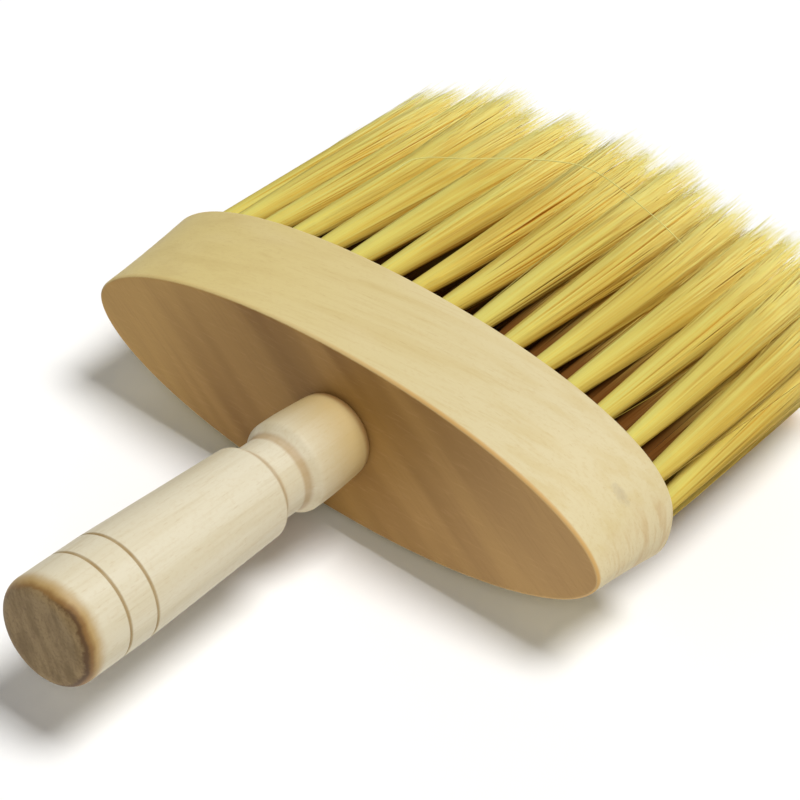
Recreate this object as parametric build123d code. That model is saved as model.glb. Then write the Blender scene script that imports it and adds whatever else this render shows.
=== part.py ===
from build123d import *
import math
import os

# Neck duster brush lying on its side. All sizes in millimetres.
# +Y runs from the handle's butt to the bristle tips, +X along the long axis of the block, +Z up.
# The origin is in the middle of the footprint, level with the lower edge of the bristle face.

# Block: a lens-shaped piece that flares from its rear face to its bristle face
BLOCK_DEPTH = 27.6
REAR_HALF_LENGTH = 72.5
REAR_HALF_THICKNESS = 21.9
REAR_POWER = 1.85               # under 2 draws the ends of the outline to a softer point
FRONT_HALF_LENGTH = 73.7
FRONT_HALF_THICKNESS = 27.2
FRONT_POWER = 2.5               # over 2 fills the outline out
LENGTH_POWER = 2.07
OUTLINE_POINTS = 72
EDGE_SOFTENING = 0.8

# Handle: one turning with an integral tenon
HANDLE_LENGTH = 94.9
TENON_RADIUS = 7.0
TENON_LENGTH = 15.0
TENON_CHAMFER = 0.8
COLLAR_EDGE = 2.3               # rounded end that sits against the block
COLLAR_FOOT_RADIUS = 9.4
COLLAR_EDGE_RADIUS = 10.5
COLLAR_MIDDLE_RADIUS = 11.0
COLLAR_RADIUS = 11.2
COLLAR_LENGTH = 17.2
COVE_RADIUS = 9.3
COVE_START = 21.6
COVE_END = 27.0
SHOULDER_RADIUS = 11.4
SHOULDER_STATION = 31.2
BARREL_RADIUS = 12.85           # at the butt; the barrel tapers to the shoulder
RING_STATIONS = (73.7, 81.9)
RING_HALF_WIDTH = 0.5
RING_DEPTH = 0.35
BUTT_ROUNDING = 3.6             # round the flat butt face

# Glued joint between handle and block
BORE_CLEARANCE = 0.1
BORE_DEPTH = 15.8

# Tufts: filaments folded over a flat wire anchor at the bottom of a blind hole
HOLE_RADIUS = 2.3
HOLE_DEPTH = 8.5
TUFT_RADIUS = 2.15
TUFT_FOLD_GAP = 0.2
BRISTLE_LENGTH = 92.0
TIP_RADIUS = 3.0
FAN_LENGTHWISE = 0.94           # the rows draw in a little towards the tips
FAN_THICKNESS = 0.95
EDGE_MARGIN = 5.5               # hole centres of the outer row to the block's outline
INNER_HALF_LENGTHS = (59.0, 49.5)
INNER_HALF_THICKNESSES = (14.6, 7.4)
EDGE_COUNT = 34
EDGE_SHIFT = 0.0
INNER_COUNTS = (30, 22)
INNER_SHIFTS = (0.5, 0.0)         # of the spacing, so that neighbouring rows are staggered
CENTRE_COUNT = 7
CENTRE_PITCH = 9.2
ARC_STEPS = 1440

# Anchors
ANCHOR_WIDTH = 4.5
ANCHOR_HEIGHT = 1.5
ANCHOR_THICKNESS = 0.35
ANCHOR_LIFT = 1.1               # from the bottom of the hole
ANCHOR_SLOT_GAP = 0.05

TOTAL_LENGTH = HANDLE_LENGTH + BLOCK_DEPTH + BRISTLE_LENGTH
REAR_Y = HANDLE_LENGTH - TOTAL_LENGTH / 2
FRONT_Y = REAR_Y + BLOCK_DEPTH
TIP_Y = FRONT_Y + BRISTLE_LENGTH
FLARE = (FRONT_HALF_THICKNESS - REAR_HALF_THICKNESS) / BLOCK_DEPTH
RIM_LOSS = EDGE_SOFTENING * (FLARE + math.sqrt(1 + FLARE ** 2) - 1)    # taken off by the softened edge
AXIS_Z = FRONT_HALF_THICKNESS - RIM_LOSS


def outline_point(turn, half_length, half_thickness, power):
    """Point of a rounded lens outline; turn goes 0 to 1 around it from the +X end."""
    c, s = math.cos(2 * math.pi * turn), math.sin(2 * math.pi * turn)
    x = half_length * math.copysign(abs(c) ** (2 / LENGTH_POWER), c)
    z = half_thickness * math.copysign(abs(s) ** (2 / power), s)
    return x, z


def outline_face(y, half_length, half_thickness, power):
    """Planar face in the outline's shape at station y."""
    points = []
    for i in range(OUTLINE_POINTS):
        x, z = outline_point(i / OUTLINE_POINTS, half_length, half_thickness, power)
        points.append(Vector(x, y, AXIS_Z + z))
    return Face(Wire([Edge.make_spline(points, periodic=True)]))


def inset_trace(half_length, half_thickness, power, margin):
    """Closed run of points at a constant margin inside the outline."""
    points = [outline_point(i / ARC_STEPS, half_length, half_thickness, power) for i in range(ARC_STEPS)]
    trace = []
    for i, (x, z) in enumerate(points):
        (x0, z0), (x1, z1) = points[i - 1], points[(i + 1) % ARC_STEPS]
        chord = math.hypot(x1 - x0, z1 - z0)
        trace.append((x - margin * (z1 - z0) / chord, z + margin * (x1 - x0) / chord))
    return trace + trace[:1]


def spaced_points(trace, count, shift):
    """Points at equal arc spacing around a closed trace, shifted by a part of the spacing."""
    run = [0.0]
    for a, b in zip(trace, trace[1:]):
        run.append(run[-1] + math.dist(a, b))
    points = []
    j = 0
    for k in range(count):
        target = (k + shift) * run[-1] / count
        while run[j + 1] < target:
            j += 1
        t = (target - run[j]) / (run[j + 1] - run[j])
        points.append(tuple(p + t * (q - p) for p, q in zip(trace[j], trace[j + 1])))
    return points


def y_cylinder(radius, x, z, y_from, y_to):
    """Round bar along Y."""
    plane = Plane(origin=(x, y_from, AXIS_Z + z), z_dir=(0, 1, 0))
    return Solid.make_cylinder(radius, y_to - y_from, plane)


def y_circle(radius, x, y, z):
    """Circle facing along Y."""
    return Wire.make_circle(radius, Plane(origin=(x, y, AXIS_Z + z), z_dir=(0, 1, 0)))


def centred_box(width, depth, height, x, y, z):
    """Box centred on a point."""
    return Pos(x, y, AXIS_Z + z) * Box(width, depth, height)


def make_block(hole_points):
    """Flared lens with softened edges, a blind bore behind and blind tuft holes in front."""
    rear = outline_face(REAR_Y, REAR_HALF_LENGTH, REAR_HALF_THICKNESS, REAR_POWER)
    front = outline_face(FRONT_Y, FRONT_HALF_LENGTH, FRONT_HALF_THICKNESS, FRONT_POWER)
    block = loft([rear, front], ruled=True)
    rims = [e for e in block.edges() if abs(e.bounding_box().min.Y - e.bounding_box().max.Y) < 0.01]
    block = fillet(rims, EDGE_SOFTENING)
    cutters = [y_cylinder(TENON_RADIUS + BORE_CLEARANCE, 0, 0, REAR_Y - 1, REAR_Y + BORE_DEPTH)]
    cutters += [y_cylinder(HOLE_RADIUS, x, z, FRONT_Y - HOLE_DEPTH, FRONT_Y + 1) for x, z in hole_points]
    return block.cut(*cutters)


def make_handle():
    """Turned profile revolved about the Y axis; stations count from the block towards the butt."""
    def at(radius, station):
        return (radius, REAR_Y - station, 0)

    def barrel_radius(station):
        t = (station - SHOULDER_STATION) / (RING_STATIONS[0] - SHOULDER_STATION)
        return SHOULDER_RADIUS + (BARREL_RADIUS - SHOULDER_RADIUS) * min(t, 1.0)

    tenon_end = -TENON_LENGTH
    round_start = HANDLE_LENGTH - BUTT_ROUNDING
    butt_radius = BARREL_RADIUS - BUTT_ROUNDING
    diagonal = BUTT_ROUNDING * math.sqrt(0.5)
    along = (0, -1, 0)
    edges = [
        Line(at(0, tenon_end), at(TENON_RADIUS - TENON_CHAMFER, tenon_end)),
        Line(at(TENON_RADIUS - TENON_CHAMFER, tenon_end), at(TENON_RADIUS, tenon_end + TENON_CHAMFER)),
        Line(at(TENON_RADIUS, tenon_end + TENON_CHAMFER), at(TENON_RADIUS, 0)),
        Line(at(TENON_RADIUS, 0), at(COLLAR_FOOT_RADIUS, 0)),
        Spline(at(COLLAR_FOOT_RADIUS, 0), at(COLLAR_EDGE_RADIUS, COLLAR_EDGE),
               at(COLLAR_MIDDLE_RADIUS, COLLAR_LENGTH * 0.55), at(COLLAR_RADIUS, COLLAR_LENGTH),
               tangents=[(1, -0.3, 0), along]),
        Spline(at(COLLAR_RADIUS, COLLAR_LENGTH), at(COLLAR_RADIUS - 0.5, COLLAR_LENGTH + 1.4),
               at(COVE_RADIUS + 0.4, COVE_START - 1.6), at(COVE_RADIUS, COVE_START),
               tangents=[along, along]),
        Line(at(COVE_RADIUS, COVE_START), at(COVE_RADIUS, COVE_END)),
        Spline(at(COVE_RADIUS, COVE_END), at(COVE_RADIUS + 0.8, COVE_END + 2.2),
               at(SHOULDER_RADIUS - 0.4, SHOULDER_STATION - 1.0), at(SHOULDER_RADIUS, SHOULDER_STATION),
               tangents=[along, along]),
    ]
    last = SHOULDER_STATION
    for ring in RING_STATIONS:
        start, end = ring - RING_HALF_WIDTH, ring + RING_HALF_WIDTH
        bottom = at(barrel_radius(ring) - RING_DEPTH, ring)
        edges += [Line(at(barrel_radius(last), last), at(barrel_radius(start), start)),
                  Line(at(barrel_radius(start), start), bottom),
                  Line(bottom, at(barrel_radius(end), end))]
        last = end
    edges += [
        Line(at(barrel_radius(last), last), at(BARREL_RADIUS, round_start)),
        ThreePointArc(at(BARREL_RADIUS, round_start),
                      at(butt_radius + diagonal, round_start + diagonal),
                      at(butt_radius, HANDLE_LENGTH)),
        Line(at(butt_radius, HANDLE_LENGTH), at(0, HANDLE_LENGTH)),
        Line(at(0, HANDLE_LENGTH), at(0, tenon_end)),
    ]
    profile = Face(Wire(edges))
    return Pos(0, 0, AXIS_Z) * revolve(profile, Axis.Y, 360)


def make_tuft(x, z):
    """Folded bundle in its hole, then a slender cone that leans in a little with its row."""
    bottom = FRONT_Y - HOLE_DEPTH + TUFT_FOLD_GAP
    root = y_cylinder(TUFT_RADIUS, x, z, bottom, FRONT_Y)
    free = loft([Face(y_circle(TUFT_RADIUS, x, FRONT_Y, z)),
                 Face(y_circle(TIP_RADIUS, x * FAN_LENGTHWISE, TIP_Y, z * FAN_THICKNESS))], ruled=True)
    slot = centred_box(2 * HOLE_RADIUS + 1, ANCHOR_HEIGHT + 2 * ANCHOR_SLOT_GAP,
                       ANCHOR_THICKNESS + 2 * ANCHOR_SLOT_GAP, x, anchor_y(), z)
    return (root + free - slot).solids()[0]


def anchor_y():
    """Station of the middle of every anchor."""
    return FRONT_Y - HOLE_DEPTH + ANCHOR_LIFT + ANCHOR_HEIGHT / 2


def make_anchor(x, z):
    """Short piece of flat wire across the hole."""
    return centred_box(ANCHOR_WIDTH, ANCHOR_HEIGHT, ANCHOR_THICKNESS, x, anchor_y(), z)


def save(shape, name):
    """Write one named node."""
    export_step(shape, f"parts/{name}.step")


os.makedirs("parts", exist_ok=True)

rows = {"edge": spaced_points(
    inset_trace(FRONT_HALF_LENGTH, FRONT_HALF_THICKNESS, FRONT_POWER, EDGE_MARGIN), EDGE_COUNT, EDGE_SHIFT)}
for row, half_length, half_thickness, count, shift in zip(
        ("second", "third"), INNER_HALF_LENGTHS, INNER_HALF_THICKNESSES, INNER_COUNTS, INNER_SHIFTS):
    rows[row] = spaced_points(inset_trace(half_length, half_thickness, FRONT_POWER, 0), count, shift)
rows["centre"] = [((i - (CENTRE_COUNT - 1) / 2) * CENTRE_PITCH, 0.0) for i in range(CENTRE_COUNT)]

save(make_block([point for row in rows.values() for point in row]), "block")
save(make_handle(), "handle")

for row, points in rows.items():
    save(Compound([make_anchor(x, z) for x, z in points]), f"anchors_{row}_row")

for number, (x, z) in enumerate(rows["edge"], start=1):
    save(make_tuft(x, z), f"tuft_edge_{number:02d}")
for row in ("second", "third"):
    upper = [(x, z) for x, z in rows[row] if z > -0.01]
    lower = [(x, z) for x, z in rows[row] if z <= -0.01]
    save(Compound([make_tuft(x, z) for x, z in upper]), f"tufts_{row}_row_upper")
    save(Compound([make_tuft(x, z) for x, z in lower]), f"tufts_{row}_row_lower")
save(Compound([make_tuft(x, z) for x, z in rows["centre"]]), "tufts_centre_row")
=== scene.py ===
import math

import bpy
import numpy as np
from mathutils import Matrix, Vector


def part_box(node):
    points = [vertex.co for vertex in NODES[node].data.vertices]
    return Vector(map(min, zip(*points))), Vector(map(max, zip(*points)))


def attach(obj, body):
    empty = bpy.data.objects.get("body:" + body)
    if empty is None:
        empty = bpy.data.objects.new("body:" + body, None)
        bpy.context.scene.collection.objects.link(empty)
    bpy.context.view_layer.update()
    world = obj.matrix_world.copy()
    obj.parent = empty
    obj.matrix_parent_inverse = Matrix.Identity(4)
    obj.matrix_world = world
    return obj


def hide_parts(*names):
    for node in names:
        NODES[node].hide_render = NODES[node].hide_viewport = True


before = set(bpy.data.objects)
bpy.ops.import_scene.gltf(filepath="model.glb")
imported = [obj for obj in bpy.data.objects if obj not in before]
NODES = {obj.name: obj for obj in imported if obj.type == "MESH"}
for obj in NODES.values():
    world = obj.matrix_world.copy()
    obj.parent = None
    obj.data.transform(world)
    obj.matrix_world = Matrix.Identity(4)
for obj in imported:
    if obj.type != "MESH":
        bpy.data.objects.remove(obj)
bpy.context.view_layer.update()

MM = 0.001

block_low, block_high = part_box("block")
handle_low, handle_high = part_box("handle")
REAR_Y, FRONT_Y = block_low.y, block_high.y
AXIS_Z = (handle_low.z + handle_high.z) / 2
BUTT_Y = handle_low.y

# Filaments: how many, and how many rings of vertices each has
EDGE_FILAMENTS, EDGE_RINGS = 520, 9
INNER_FILAMENTS, INNER_RINGS = 240, 8
SIDES = 3
FIRST_SEED = 100
RADIUS_RANGE = (0.085, 0.12)    # mm
THINNING = ([0, 0.5, 0.85, 1.0], [1.0, 0.95, 0.65, 0.14])   # share of the length, share of the radius

# Shape of a tuft; the radii at its root and tip come from its CAD solid
ROOT_SUNK = 2 * MM
ROOT_FILL = 0.93
TIP_SPREAD = 1.78
SPREAD_POWER = 1.3
FILL_POWER = 0.36               # 0.5 fills the tuft evenly, less moves the filaments outwards
CLUMPS = 9
CLUMP_PULL = 0.16

# How the filaments stray from straight, across the tuft only
ACROSS = np.array([1.0, 0.0, 1.0])
WANDER = 0.75 * MM
STRAY_WANDER = 3.2 * MM
STRAY_SHARE = 0.018
STRAY_BOW = 2.5
FILAMENT_BOW = 0.18 * MM
TUFT_BOW = 0.45 * MM
TUFT_LEAN = 0.7 * MM

# Lengths
TUFT_SCATTER = 1.0 * MM
TIP_FEATHER = 3.2 * MM
LONGEST = 2.5 * MM
LONG_SIDE = 4.5 * MM
SHORT_SHARE = 0.05
SHORT_RANGE = (0.70, 0.95)
FLOOR_GAP = 0.2 * MM

GLOW_LIFT = 0.22
INNER_SHADE = {"second": 1.0, "third": 0.8, "centre": 0.8}

# Nylon colours, with painted light and shade on the tufts and painted shade on the inner rows
SHADED_GOLD = (0.60, 0.345, 0.032)
LIT_STRAW = (0.635, 0.585, 0.158)
PALE_TIP = (0.83, 0.81, 0.32)
SECOND_ROW_PAINTED_SHADE = (0.155, 0.062, 0.013)
DEEP_ROW_PAINTED_SHADE = (0.42, 0.165, 0.022)
SHADOW_GOLD = (0.87, 0.71, 0.40)
ROOT_SHADOW_GOLD = (0.965, 0.91, 0.80)

# The long loose filament: points across, out from the bristle face and up from the handle's axis, in mm
STRAY_RADIUS = 0.13 * MM
STRAY_ROUTE = (
    (-37, 36, 23.5), (-36.2, 38.7, 24.8), (-36, 42, 25.5), (-31, 45.9, 26.6), (-25, 49.2, 27.3),
    (-19, 55.4, 27.9), (-11.7, 61.6, 28.2), (-3, 68, 28.4), (6.3, 67, 28.2), (16.4, 64, 27.8),
    (24.6, 62.8, 26.6), (30.3, 62.2, 24.6),
)


# ---------------------------------------------------------------- material helpers

class Graph:
    """A small wrapper that makes shader nodes and links them."""

    def __init__(self, name):
        self.material = bpy.data.materials.new(name)
        self.material.use_nodes = True
        self.tree = self.material.node_tree
        self.tree.nodes.clear()
        self.out = self.tree.nodes.new("ShaderNodeOutputMaterial")
        self.bsdf = self.tree.nodes.new("ShaderNodeBsdfPrincipled")
        self.tree.links.new(self.bsdf.outputs[0], self.out.inputs["Surface"])

    def put(self, socket, value):
        if isinstance(value, bpy.types.NodeSocket):
            self.tree.links.new(value, socket)
        else:
            socket.default_value = value

    def node(self, kind, **props):
        made = self.tree.nodes.new(kind)
        for key, value in props.items():
            setattr(made, key, value)
        return made

    def math(self, operation, a, b=0.0, c=None, clamp=False):
        made = self.node("ShaderNodeMath", operation=operation, use_clamp=clamp)
        self.put(made.inputs[0], a)
        self.put(made.inputs[1], b)
        if c is not None:
            self.put(made.inputs[2], c)
        return made.outputs[0]

    def step(self, value, low, high):
        """0 below low, 1 above high, smooth between; low may be above high."""
        made = self.node("ShaderNodeMapRange", interpolation_type="SMOOTHSTEP")
        flip = low > high
        self.put(made.inputs["Value"], value)
        self.put(made.inputs["From Min"], min(low, high))
        self.put(made.inputs["From Max"], max(low, high))
        self.put(made.inputs["To Min"], 1.0 if flip else 0.0)
        self.put(made.inputs["To Max"], 0.0 if flip else 1.0)
        return made.outputs[0]

    def mix(self, factor, a, b, blend="MIX"):
        made = self.node("ShaderNodeMix", data_type="RGBA", blend_type=blend, clamp_factor=True)
        self.put(made.inputs[0], factor)
        for socket, value in ((made.inputs[6], a), (made.inputs[7], b)):
            self.put(socket, (*value, 1.0) if isinstance(value, tuple) else value)
        return made.outputs[2]

    def coords(self):
        """Object position in millimetres, and its three parts."""
        source = self.node("ShaderNodeTexCoord")
        scaled = self.node("ShaderNodeVectorMath", operation="SCALE")
        self.put(scaled.inputs[0], source.outputs["Object"])
        scaled.inputs["Scale"].default_value = 1000.0
        parts = self.node("ShaderNodeSeparateXYZ")
        self.put(parts.inputs[0], scaled.outputs[0])
        return scaled.outputs[0], parts.outputs[0], parts.outputs[1], parts.outputs[2]

    def normal(self):
        source = self.node("ShaderNodeTexCoord")
        parts = self.node("ShaderNodeSeparateXYZ")
        self.put(parts.inputs[0], source.outputs["Normal"])
        return parts.outputs

    def noise(self, vector, scale, turn=(0, 0, 0), shift=(0, 0, 0), detail=3.0, rough=0.5, warp=0.0):
        """Noise stretched by a scale per axis, in features per millimetre."""
        turned = self.node("ShaderNodeMapping", vector_type="POINT")
        turned.inputs["Location"].default_value = shift
        turned.inputs["Rotation"].default_value = turn
        turned.inputs["Scale"].default_value = (1, 1, 1)
        self.put(turned.inputs["Vector"], vector)
        sized = self.node("ShaderNodeVectorMath", operation="MULTIPLY")
        self.put(sized.inputs[0], turned.outputs[0])
        sized.inputs[1].default_value = scale
        made = self.node("ShaderNodeTexNoise")
        self.put(made.inputs["Vector"], sized.outputs[0])
        made.inputs["Scale"].default_value = 1.0
        made.inputs["Detail"].default_value = detail
        made.inputs["Roughness"].default_value = rough
        made.inputs["Distortion"].default_value = warp
        return made.outputs["Fac"]

    def bump(self, height, strength, distance):
        made = self.node("ShaderNodeBump")
        made.inputs["Strength"].default_value = strength
        made.inputs["Distance"].default_value = distance
        self.put(made.inputs["Height"], height)
        self.put(self.bsdf.inputs["Normal"], made.outputs[0])

    def finish(self, colour, roughness, **sockets):
        self.put(self.bsdf.inputs["Base Color"], colour)
        self.put(self.bsdf.inputs["Roughness"], roughness)
        for key, value in sockets.items():
            self.bsdf.inputs[key.replace("_", " ")].default_value = value
        return self.material


def srgb(r, g, b):
    """Linear colour from 0-255 display values."""
    return tuple(((v / 255 + 0.055) / 1.055) ** 2.4 if v > 10 else v / 255 / 12.92 for v in (r, g, b))


# ---------------------------------------------------------------- wood

# Marks left on the turning, with painted shade: the line at the block is painted shade in the joint, the
# lines in the cove and at the shoulder's foot are part burn and part painted shade, and the two rings near
# the butt are burn lines; distance from the block, half width, strength and colour
TURNING_BURNS_AND_PAINTED_SHADE = (
    (0.6, 2.2, 0.75, srgb(150, 104, 50)),
    (21.1, 1.7, 0.62, srgb(166, 128, 72)),
    (29.4, 1.7, 0.55, srgb(178, 140, 84)),
    (73.7, 0.62, 0.85, srgb(158, 128, 74)),
    (81.9, 0.62, 0.85, srgb(158, 128, 74)),
)


def block_material():
    """Pale close-grained wood: fine streaks along the block, end grain at the tips, painted light that
    makes it paler towards +X, and a browner rear face in painted shade.
    """
    g = Graph("block_wood")
    p, x, y, z = g.coords()
    nx, ny, _ = g.normal()
    fibre = g.noise(p, (0.05, 1.5, 1.5), turn=(0, 0, -0.10), detail=5, rough=0.62)
    streak = g.noise(p, (0.014, 0.26, 0.26), turn=(0, 0, -0.12), shift=(31, 7, 2), detail=3, warp=0.3)
    fleck = g.noise(p, (0.20, 2.4, 2.4), turn=(0, 0, -0.10), shift=(5, 3, 9), detail=2)
    cloud = g.noise(p, (0.02, 0.05, 0.05), shift=(12, 4, 40), detail=2)
    speck = g.noise(p, (0.9, 1.1, 1.1), shift=(4, 4, 4), detail=3)
    # painted light: the wood is made paler towards +X, the side the light falls from
    colour = g.mix(g.step(x, -60.0, 55.0), srgb(219, 199, 134), srgb(219, 204, 160))
    colour = g.mix(g.math("MULTIPLY", g.step(streak, 0.42, 0.72), 0.40), colour, srgb(206, 182, 120))
    colour = g.mix(g.math("MULTIPLY", g.step(cloud, 0.46, 0.66), 0.35), colour, srgb(225, 209, 164))
    colour = g.mix(g.math("MULTIPLY", g.step(fibre, 0.48, 0.75), 0.22), colour, srgb(196, 168, 108))
    colour = g.mix(g.math("MULTIPLY", g.step(fleck, 0.64, 0.73), 0.22), colour, srgb(188, 158, 102))
    colour = g.mix(g.math("MULTIPLY", g.step(speck, 0.52, 0.70), 0.14), colour, srgb(204, 177, 124))
    # painted shade: the rear face, turned away from the light, gets a darker, browner colour
    rear = g.step(ny, -0.75, -0.97)
    bare = g.math("SUBTRACT", 1.0, rear)
    colour = end_grain(g, p, x, nx, bare, colour)
    colour = knot_mark(g, x, y, z, speck, colour)
    # thin burnished line on the softened rear edge, strongest towards one end
    line = g.math("MULTIPLY", g.step(y, REAR_Y / MM + 1.25, REAR_Y / MM + 0.55), bare)
    line = g.math("MULTIPLY", line, g.math("MULTIPLY_ADD", g.step(x, -25.0, 30.0), 0.65, 0.2))
    colour = g.mix(line, colour, srgb(206, 160, 88))
    colour = g.mix(rear, colour, rear_grain_and_painted_shade(g, p, x, fibre, cloud))
    height = g.math("ADD", g.math("MULTIPLY", fibre, 0.7), g.math("MULTIPLY", fleck, -0.5))
    g.bump(height, 0.20, 0.0001)
    rough = g.math("ADD", 0.50, g.math("MULTIPLY", fibre, 0.16))
    return g.finish(colour, rough, Specular_IOR_Level=0.3, Coat_Weight=0.04, Coat_Roughness=0.4)


def end_grain(g, p, x, nx, bare, colour):
    """Mottled cream and orange layers where the fibres run out, at both tips of the block."""
    edge = g.noise(p, (0.12, 0.16, 0.12), shift=(9, 2, 5), detail=3)
    reach = g.math("ADD", g.math("ABSOLUTE", nx), g.math("MULTIPLY_ADD", edge, 0.36, -0.18))
    end = g.math("MULTIPLY", g.step(reach, 0.62, 0.95), bare)
    layer = g.noise(p, (0.10, 0.34, 0.08), shift=(2, 6, 1), detail=5, rough=0.6, warp=0.25)
    pore = g.noise(p, (1.6, 2.4, 1.6), detail=2)
    tone = g.mix(g.step(layer, 0.40, 0.62), srgb(218, 202, 160), srgb(206, 180, 132))
    tone = g.mix(g.math("MULTIPLY", g.step(layer, 0.58, 0.72), 0.40), tone, srgb(188, 144, 104))
    tone = g.mix(g.math("MULTIPLY", g.step(pore, 0.54, 0.72), 0.22), tone, srgb(178, 142, 102))
    return g.mix(g.math("MULTIPLY", end, 0.80), colour, tone)


def knot_mark(g, x, y, z, speck, colour):
    """Small grey mark in the grain near one end."""
    def offset(value, centre, size):
        return g.math("POWER", g.math("DIVIDE", g.math("SUBTRACT", value, centre), size), 2.0)

    spread = g.math("ADD", offset(x, 65.4, 3.0), offset(y, REAR_Y / MM + 15.6, 1.5))
    spread = g.math("ADD", spread, offset(z, AXIS_Z / MM + 11.6, 4.0))
    ragged = g.math("ADD", spread, g.math("MULTIPLY_ADD", speck, 1.6, -0.8))
    return g.mix(g.math("MULTIPLY", g.step(ragged, 1.3, -0.2), 0.42), colour, srgb(176, 160, 132))


def rear_grain_and_painted_shade(g, p, x, fibre, cloud):
    """Rear face in painted shade, browner than the rest and darkest in the middle around the handle, with
    broad soft oblique bands and fine grain.
    """
    band = g.noise(p, (0.012, 0.05, 0.085), turn=(0, -0.66, 0), shift=(8, 0, 3), detail=2, warp=0.2)
    hair = g.noise(p, (0.07, 0.8, 1.3), turn=(0, -0.62, 0), shift=(1, 1, 6), detail=4, rough=0.6)
    tone = g.mix(g.step(band, 0.36, 0.64), srgb(173, 132, 69), srgb(144, 104, 47))
    # painted shade: lighter towards both ends, darkest in the middle where the handle stands
    tone = g.mix(g.math("MULTIPLY", g.step(x, 5.0, 65.0), 0.65), tone, srgb(204, 164, 106))
    tone = g.mix(g.math("MULTIPLY", g.step(x, -25.0, -62.0), 0.65), tone, srgb(201, 161, 92))
    tone = g.mix(g.math("MULTIPLY", g.step(hair, 0.46, 0.74), 0.22), tone, srgb(150, 110, 62))
    return g.mix(g.math("MULTIPLY", g.step(fibre, 0.5, 0.75), 0.15), tone, srgb(222, 180, 124))


def handle_material():
    """Turned wood under a matt finish, burnished ring lines, painted shade in the joint with the block, in
    the cove and at the shoulder's foot, and a scorched butt edge.
    """
    g = Graph("handle_wood")
    p, x, y, z = g.coords()
    _, ny, _ = g.normal()
    fibre = g.noise(p, (1.4, 0.05, 1.4), detail=5, rough=0.6)
    streak = g.noise(p, (0.20, 0.010, 0.20), shift=(3, 9, 1), detail=3, warp=0.2)
    fleck = g.noise(p, (2.2, 0.28, 2.2), shift=(7, 1, 4), detail=2)
    speck = g.noise(p, (1.2, 0.8, 1.2), shift=(2, 2, 2), detail=3)
    colour = g.mix(g.step(streak, 0.36, 0.64), srgb(222, 213, 187), srgb(215, 204, 174))
    colour = g.mix(g.math("MULTIPLY", g.step(fibre, 0.46, 0.74), 0.24), colour, srgb(196, 176, 134))
    colour = g.mix(g.math("MULTIPLY", g.step(fleck, 0.62, 0.72), 0.20), colour, srgb(188, 162, 116))
    colour = g.mix(g.math("MULTIPLY", g.step(speck, 0.50, 0.68), 0.16), colour, srgb(204, 183, 142))
    station = g.math("SUBTRACT", REAR_Y / MM, y)
    colour = g.mix(g.math("MULTIPLY", g.step(station, 25.0, 2.0), 0.85), colour, srgb(196, 168, 106))
    uneven = g.noise(p, (0.18, 0.18, 0.18), shift=(5, 5, 5), detail=2)
    # burn lines of the turning, and painted shade in the joint with the block, the cove and the shoulder's
    # foot
    for centre, half, strength, tone in TURNING_BURNS_AND_PAINTED_SHADE:
        near = g.step(g.math("ABSOLUTE", g.math("SUBTRACT", station, centre)), half, half * 0.3)
        near = g.math("MULTIPLY", near, g.math("MULTIPLY_ADD", uneven, 0.8, 0.5))
        colour = g.mix(g.math("MULTIPLY", near, strength, clamp=True), colour, tone)
    colour, face = scorched_butt(g, p, x, y, z, ny, colour)
    g.bump(g.math("ADD", g.math("MULTIPLY", fibre, 0.5), g.math("MULTIPLY", speck, face)), 0.2, 0.0001)
    rough = g.math("ADD", g.math("MULTIPLY_ADD", fibre, 0.14, 0.48), g.math("MULTIPLY", face, 0.1))
    return g.finish(colour, rough, Specular_IOR_Level=0.3, Coat_Weight=0.06, Coat_Roughness=0.4)


def scorched_butt(g, p, x, y, z, ny, colour):
    """Golden then dark brown rounded edge, and grey-brown mottled end grain on the butt."""
    wobble = g.noise(p, (0.20, 0.20, 0.20), shift=(1, 5, 8), detail=4, rough=0.6)
    inward = g.math("ADD", g.math("SUBTRACT", y, BUTT_Y / MM), g.math("MULTIPLY_ADD", wobble, -1.8, 0.9))
    # the scorching is narrower on the upper side towards -X
    upper = g.math("MULTIPLY_ADD", z, 0.8, -0.8 * AXIS_Z / MM)
    upper = g.step(g.math("MULTIPLY_ADD", x, -0.6, upper), 2.0, 11.0)
    halo = g.math("MULTIPLY_ADD", upper, 1.1, inward)
    colour = g.mix(g.math("MULTIPLY", g.step(halo, 6.4, 2.6), 0.9), colour, srgb(176, 142, 80))
    colour = g.mix(g.math("MULTIPLY", g.step(halo, 3.2, 1.8), 0.85), colour, srgb(126, 88, 42))
    colour = g.mix(g.math("MULTIPLY", g.step(halo, 1.9, 1.2), 0.8), colour, srgb(78, 54, 28))
    end = g.noise(p, (0.30, 0.30, 0.10), turn=(0, 0.5, 0), shift=(6, 1, 2), detail=5, rough=0.65)
    pore = g.noise(p, (1.3, 1.3, 1.3), shift=(3, 8, 3), detail=3)
    tone = g.mix(g.step(end, 0.36, 0.66), srgb(152, 128, 88), srgb(124, 101, 64))
    tone = g.mix(g.math("MULTIPLY", g.step(pore, 0.46, 0.70), 0.35), tone, srgb(104, 80, 52))
    face = g.step(g.math("ADD", inward, g.math("MULTIPLY_ADD", pore, 0.6, -0.3)), 1.1, 0.4)
    return g.mix(face, colour, tone), face


def wire_material():
    """Flat drawn steel wire with fine lines along it."""
    g = Graph("anchor_wire")
    p = g.coords()[0]
    drawn = g.noise(p, (0.3, 9.0, 9.0), detail=3)
    colour = g.mix(drawn, (0.52, 0.52, 0.50), (0.66, 0.65, 0.62))
    g.bump(drawn, 0.15, 0.00005)
    return g.finish(colour, g.math("MULTIPLY_ADD", drawn, 0.2, 0.28), Metallic=1.0)


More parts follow.
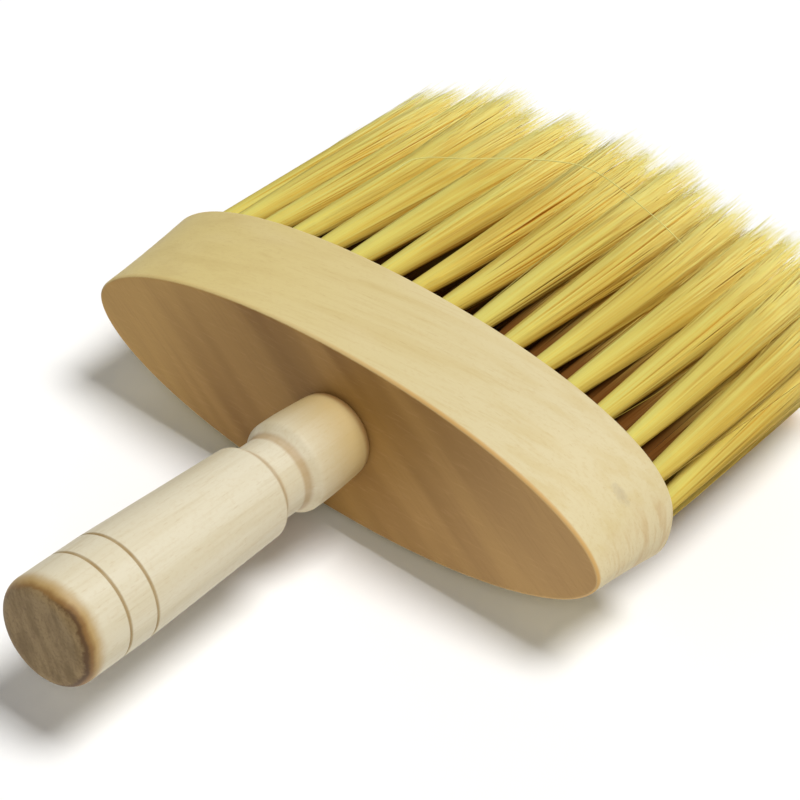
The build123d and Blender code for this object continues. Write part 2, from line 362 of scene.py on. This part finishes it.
def bristle_material():
    """Translucent golden nylon with painted light and shade: lighter on the upper side of each tuft, and
    brown painted shade on the inner rows near the block; paler towards the tips.
    """
    g = Graph("bristle_nylon")
    tone = g.node("ShaderNodeAttribute", attribute_name="tone").outputs["Fac"]
    along = g.node("ShaderNodeAttribute", attribute_name="along").outputs["Fac"]
    inner = g.node("ShaderNodeAttribute", attribute_name="inner").outputs["Fac"]
    # painted light and shade: the tone runs from the shaded gold of a tuft's flanks and underside to the
    # lit straw of its top
    colour = g.mix(tone, SHADED_GOLD, LIT_STRAW)
    colour = g.mix(g.math("MULTIPLY", g.step(along, 0.50, 1.0), 0.80), colour, PALE_TIP)
    # painted shade: the inner rows are brown near their roots, the second row darkest
    shaded = g.math("MULTIPLY", g.step(inner, 0.0, 0.5), g.step(along, 0.66, 0.16))
    brown = g.mix(g.step(inner, 0.96, 0.84), SECOND_ROW_PAINTED_SHADE, DEEP_ROW_PAINTED_SHADE)
    colour = g.mix(shaded, colour, brown)
    # the filaments are translucent, so their shadows let golden light through, most of it near the roots
    clear = g.node("ShaderNodeBsdfTransparent")
    g.put(clear.inputs["Color"], g.mix(g.step(along, 0.34, 0.12), SHADOW_GOLD, ROOT_SHADOW_GOLD))
    mix = g.node("ShaderNodeMixShader")
    g.put(mix.inputs[0], g.node("ShaderNodeLightPath").outputs["Is Shadow Ray"])
    g.put(mix.inputs[1], g.bsdf.outputs[0])
    g.put(mix.inputs[2], clear.outputs[0])
    g.put(g.out.inputs["Surface"], mix.outputs[0])
    sheen = g.math("MULTIPLY_ADD", tone, 0.12, 0.42)
    return g.finish(colour, sheen, Specular_IOR_Level=0.07, Specular_Tint=(1.0, 0.90, 0.55, 1.0))


# ---------------------------------------------------------------- tufts

def tuft_solids(node):
    """Centres and radii of the root and tip of every solid in a CAD tuft node."""
    mesh = NODES[node].data
    count = len(mesh.vertices)
    co = np.empty(count * 3)
    mesh.vertices.foreach_get("co", co)
    co = co.reshape(-1, 3)
    _, same = np.unique(np.round(co, 6), axis=0, return_inverse=True)
    same = same.ravel()
    edges = np.empty(len(mesh.edges) * 2, int)
    mesh.edges.foreach_get("vertices", edges)
    edges = same[edges].reshape(-1, 2)
    label = np.arange(same.max() + 1)
    while True:
        low = np.minimum(label[edges[:, 0]], label[edges[:, 1]])
        new = label.copy()
        np.minimum.at(new, edges[:, 0], low)
        np.minimum.at(new, edges[:, 1], low)
        new = new[new]
        if (new == label).all():
            break
        label = new
    found = []
    for island in np.unique(label):
        points = co[label[same] == island]
        low, high = points[:, 1].min(), points[:, 1].max()
        ends = []
        for y in (low, high):
            disc = points[abs(points[:, 1] - y) < 1e-5]
            middle = (disc.min(0) + disc.max(0)) / 2
            ends.append((middle, (disc[:, 0].max() - disc[:, 0].min()) / 2))
        found.append(ends)
    found.sort(key=lambda e: (round(e[0][0][0], 5), round(e[0][0][2], 5)))
    return found


def filament_tube(paths, radii, turns):
    """Vertices, faces and side directions of thin three-sided tapering tubes along many paths at once."""
    count, rings, _ = paths.shape
    angle = turns[:, None, None] + np.arange(SIDES)[None, None, :] * (2 * math.pi / SIDES)
    angle = np.broadcast_to(angle, (count, rings, SIDES))
    side = np.stack([np.cos(angle), np.zeros_like(angle), np.sin(angle)], -1)
    verts = paths[:, :, None, :] + side * radii[:, :, None, None]
    index = np.arange(count * rings * SIDES).reshape(count, rings, SIDES)
    a, b = index[:, :-1, :], index[:, 1:, :]
    faces = np.stack([a, b, np.roll(b, -1, 2), np.roll(a, -1, 2)], -1).reshape(-1, 4)
    return verts.reshape(-1, 3), faces, side.reshape(-1, 3)


def unit_disc(rng, count):
    """Random points in a unit disc that faces along Y."""
    reach = rng.random(count) ** FILL_POWER
    turn = rng.random(count) * 2 * math.pi
    return np.stack([np.cos(turn) * reach, np.zeros(count), np.sin(turn) * reach], -1)


def grow_tuft(root, root_radius, tip, tip_radius, count, s, rng):
    """Paths of one tuft's filaments, their radii, their tone with painted light and shade, and the way out
    of the tuft at each point.
    """
    start = np.array([root[0], FRONT_Y - ROOT_SUNK, root[2]])
    axis = tip - start
    place = unit_disc(rng, count)
    clump = unit_disc(rng, CLUMPS) * 1.05       # a little outside the tuft's own disc
    nearest = ((place[:, None] - clump[None]) ** 2).sum(-1).argmin(1)
    gather = clump[nearest] - place
    stray = rng.random(count) < STRAY_SHARE
    wander = rng.normal(0, WANDER, (count, 3)) * ACROSS
    wander[stray] = rng.normal(0, STRAY_WANDER, (stray.sum(), 3)) * ACROSS
    bow = rng.normal(0, FILAMENT_BOW, (count, 3)) * ACROSS + rng.normal(0, TUFT_BOW, 3) * ACROSS
    bow[stray] *= STRAY_BOW
    lean = rng.normal(0, TUFT_LEAN, 3) * ACROSS
    length = axis[1] + rng.normal(0, TUFT_SCATTER) - abs(rng.normal(0, TIP_FEATHER, count))
    short = rng.random(count) < SHORT_SHARE
    length[short] *= rng.uniform(*SHORT_RANGE, short.sum())
    # trimmed slightly askew: the tufts get longer towards +X
    askew = LONG_SIDE * min(max(root[0] / block_high.x, 0.0), 1.0)
    length = np.minimum(length, axis[1] + LONGEST) + askew
    t = s[None, :, None]
    opening = 1 - (1 - t) ** SPREAD_POWER
    radius = root_radius * ROOT_FILL + (tip_radius * TIP_SPREAD - root_radius) * opening
    offset = (place[:, None] + gather[:, None] * CLUMP_PULL * t ** 1.5) * radius
    progress = t * (length / axis[1])[:, None, None]
    paths = start + axis * progress + offset
    paths += wander[:, None] * t ** 2.5 + lean * t ** 1.3 + bow[:, None] * np.sin(t * math.pi)
    paths[:, :, 2] = np.maximum(paths[:, :, 2], FLOOR_GAP)
    width = rng.uniform(*RADIUS_RANGE, count) * MM
    taper = np.interp(s, *THINNING)
    # painted light and shade on a random tone: 1 is the lit upper side of the tuft, 0 its shaded flanks
    # and underside
    tone = rng.normal(rng.normal(0.50, 0.05), 0.08, count) * (0.65 + 0.35 * np.linalg.norm(place, axis=1))
    tone = np.clip(tone + 0.32 * place[:, 2] - 0.20 * abs(place[:, 0]) + 0.16, 0, 1)
    outward = np.broadcast_to(place[:, None], paths.shape)
    return paths, width[:, None] * taper[None], tone, outward


def build_piece(name, node, per_tuft, rings, seed, inner, material):
    """One visual piece of filaments that replaces one CAD tuft node."""
    rng = np.random.default_rng(seed)
    s = np.linspace(0, 1, rings)
    tufts = [grow_tuft(root, root_r, tip, tip_r, per_tuft, s, rng)
             for (root, root_r), (tip, tip_r) in tuft_solids(node)]
    paths, radii, tone, outward = (np.concatenate(part) for part in zip(*tufts))
    turns = rng.random(len(paths)) * 2 * math.pi
    piece = filament_mesh(name, paths, radii, turns, tone, outward, s, inner, material)
    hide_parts(node)


def filament_mesh(name, paths, radii, turns, tone, outward, s, inner, material):
    """Mesh object of many filaments, with its attributes, map strips and soft shading."""
    count, rings, _ = paths.shape
    verts, faces, side = filament_tube(paths, radii, turns)
    mesh = bpy.data.meshes.new(name)
    mesh.vertices.add(len(verts))
    mesh.vertices.foreach_set("co", verts.ravel())
    mesh.loops.add(faces.size)
    mesh.loops.foreach_set("vertex_index", faces.ravel())
    mesh.polygons.add(len(faces))
    mesh.polygons.foreach_set("loop_start", np.arange(0, faces.size, 4))
    mesh.polygons.foreach_set("loop_total", np.full(len(faces), 4))
    mesh.update()
    per_filament = rings * SIDES
    for key, values in (("tone", np.repeat(tone, per_filament)),
                        ("inner", np.full(count * per_filament, inner)),
                        ("along", np.tile(np.repeat(s, SIDES), count))):
        layer = mesh.attributes.new(key, "FLOAT", "POINT")
        layer.data.foreach_set("value", values.astype(np.float32))
    # each filament has its own strip of the map, with the tip at the top
    uv = mesh.uv_layers.new(name="OFBake")
    strip = np.repeat(np.arange(count), (rings - 1) * SIDES)
    ring = np.tile(np.repeat(np.arange(rings - 1), SIDES), count)
    corner = np.tile(np.arange(SIDES), count * (rings - 1))
    u = (strip[:, None] + 0.1 + 0.8 * (corner[:, None] + np.array([0, 0, 1, 1])) / SIDES) / count
    v = s[ring[:, None] + np.array([0, 1, 1, 0])]
    uv.data.foreach_set("uv", np.stack([u, v], -1).astype(np.float32).ravel())
    mesh.polygons.foreach_set("use_smooth", np.ones(len(faces), bool))
    # shaded as part of the bundle, leaning up a little for the light that passes through the nylon
    soft = side * 0.32 + np.repeat(outward.reshape(-1, 3), SIDES, 0) + np.array([0, 0, GLOW_LIFT])
    soft /= np.linalg.norm(soft, axis=1)[:, None]
    mesh.normals_split_custom_set_from_vertices(soft)
    mesh.materials.append(material)
    piece = bpy.data.objects.new(name, mesh)
    bpy.context.scene.collection.objects.link(piece)
    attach(piece, "root")
    return piece


def stray_filament(material):
    """One long loose filament that arches across the top of the tufts."""
    curve = bpy.data.curves.new("filament_stray", "CURVE")
    curve.dimensions = "3D"
    curve.resolution_u = 10
    curve.bevel_depth = STRAY_RADIUS
    curve.bevel_resolution = 1
    spline = curve.splines.new("NURBS")
    spline.points.add(len(STRAY_ROUTE) - 1)
    for point, (x, y, z) in zip(spline.points, STRAY_ROUTE):
        point.co = (x * MM, FRONT_Y + y * MM, AXIS_Z + z * MM, 1)
    spline.order_u = 4
    spline.use_endpoint_u = True
    guide = bpy.data.objects.new("stray_route", curve)
    mesh = bpy.data.meshes.new_from_object(guide)
    bpy.data.objects.remove(guide)
    bpy.data.curves.remove(curve)
    mesh.name = "filament_stray"
    # painted light: the stray filament has the lit tone of a tuft's upper side
    for key, value in (("tone", 1.0), ("inner", 0.0), ("along", 1.0)):
        layer = mesh.attributes.new(key, "FLOAT", "POINT")
        layer.data.foreach_set("value", np.full(len(mesh.vertices), value, np.float32))
    mesh.materials.clear()
    mesh.materials.append(material)
    piece = bpy.data.objects.new("filament_stray", mesh)
    bpy.context.scene.collection.objects.link(piece)
    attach(piece, "root")


# ---------------------------------------------------------------- object

def dress(node, material):
    """Give a carried-over CAD node its finished material."""
    mesh = NODES[node].data
    mesh.materials.clear()
    mesh.materials.append(material)


dress("block", block_material())
dress("handle", handle_material())
wire = wire_material()
nylon = bristle_material()
for index, node in enumerate(sorted(NODES)):
    if node.startswith("anchors"):
        dress(node, wire)
    elif node.startswith("tuft_edge"):
        name = node.replace("tuft", "filaments")
        build_piece(name, node, EDGE_FILAMENTS, EDGE_RINGS, FIRST_SEED + index, 0.0, nylon)
    elif node.startswith("tufts"):
        name, shade = node.replace("tufts", "filaments"), INNER_SHADE[node.split("_")[1]]
        build_piece(name, node, INNER_FILAMENTS, INNER_RINGS, FIRST_SEED + index, shade, nylon)
stray_filament(nylon)


# ---------------------------------------------------------------- stage, light, camera

def stage_floor(half, drop):
    """Plain pale square floor, a hair below the object so that the two don't share a plane."""
    mesh = bpy.data.meshes.new("floor")
    corners = [(-half, -half, 0), (half, -half, 0), (half, half, 0), (-half, half, 0)]
    mesh.from_pydata(corners, [], [(0, 1, 2, 3)])
    floor = bpy.data.objects.new("floor", mesh)
    bpy.context.scene.collection.objects.link(floor)
    g = Graph("floor_white")
    mesh.materials.append(g.finish((0.98, 0.98, 0.98, 1.0), 0.9, Specular_IOR_Level=0.1))
    floor.location.z = -drop


def area_light(name, direction, distance, size, power, colour):
    """Round soft light that looks at the object from a direction."""
    data = bpy.data.lights.new(name, "AREA")
    data.shape = "DISK"
    data.size = size
    data.energy = power
    data.color = colour
    lamp = bpy.data.objects.new(name, data)
    bpy.context.scene.collection.objects.link(lamp)
    toward = Vector(direction).normalized()
    lamp.location = toward * distance + Vector((0, 0, AXIS_Z))
    lamp.rotation_mode = "QUATERNION"
    lamp.rotation_quaternion = (-toward).to_track_quat("-Z", "Y")


def key_light(direction, spread, strength, colour):
    """Soft sun, so that the floor is evenly lit; spread is its width in degrees."""
    data = bpy.data.lights.new("key", "SUN")
    data.angle = math.radians(spread)
    data.energy = strength
    data.color = colour
    lamp = bpy.data.objects.new("key", data)
    bpy.context.scene.collection.objects.link(lamp)
    lamp.rotation_mode = "QUATERNION"
    lamp.rotation_quaternion = (-Vector(direction).normalized()).to_track_quat("-Z", "Y")


def place_camera(azimuth, elevation, roll, distance, across, along, lens):
    """Camera aimed at a point of the level plane through the handle's axis, turned about its view line."""
    a, e = math.radians(azimuth), math.radians(elevation)
    back = Vector((math.sin(a) * math.cos(e), -math.cos(a) * math.cos(e), math.sin(e)))
    target = Vector((across, REAR_Y + along, AXIS_Z))
    data = bpy.data.cameras.new("camera")
    data.sensor_width = 36.0
    data.lens = lens
    data.clip_start, data.clip_end = 0.01, 50.0
    camera = bpy.data.objects.new("camera", data)
    bpy.context.scene.collection.objects.link(camera)
    camera.rotation_mode = "QUATERNION"
    look = (-back).to_track_quat("-Z", "Y")
    camera.rotation_quaternion = look @ Matrix.Rotation(math.radians(roll), 3, "Z").to_quaternion()
    camera.location = target + back * distance
    bpy.context.scene.camera = camera


def light_world(strength, colour, backdrop):
    """Even light from all round, and a plain backdrop that only the camera sees."""
    world = bpy.data.worlds.new("studio")
    bpy.context.scene.world = world
    world.use_nodes = True
    tree = world.node_tree
    tree.nodes.clear()
    out = tree.nodes.new("ShaderNodeOutputWorld")
    lit = tree.nodes.new("ShaderNodeBackground")
    lit.inputs["Color"].default_value = (*colour, 1)
    lit.inputs["Strength"].default_value = strength
    seen = tree.nodes.new("ShaderNodeBackground")
    seen.inputs["Color"].default_value = (1, 1, 1, 1)
    seen.inputs["Strength"].default_value = backdrop
    path = tree.nodes.new("ShaderNodeLightPath")
    mix = tree.nodes.new("ShaderNodeMixShader")
    tree.links.new(path.outputs["Is Camera Ray"], mix.inputs[0])
    tree.links.new(lit.outputs[0], mix.inputs[1])
    tree.links.new(seen.outputs[0], mix.inputs[2])
    tree.links.new(mix.outputs[0], out.inputs["Surface"])


WARM_WHITE = (1.0, 0.995, 0.985)
stage_floor(half=6.0, drop=0.0002)
light_world(strength=0.11, colour=(0.97, 0.985, 1.0), backdrop=0.95)
key_light(direction=(0.28, 0.12, 1.0), spread=25.0, strength=2.68, colour=(1.0, 0.99, 0.975))
area_light("fill", direction=(0.43, -0.66, 0.66), distance=1.6, size=0.5, power=4.0, colour=WARM_WHITE)
area_light("back", direction=(-0.5, 1.0, 0.55), distance=1.6, size=0.7, power=2.6, colour=WARM_WHITE)
place_camera(azimuth=33.141, elevation=37.591, roll=7.925, distance=0.618,
             across=0.00292, along=0.01996, lens=120.85)
bpy.context.scene.view_settings.view_transform = "Standard"
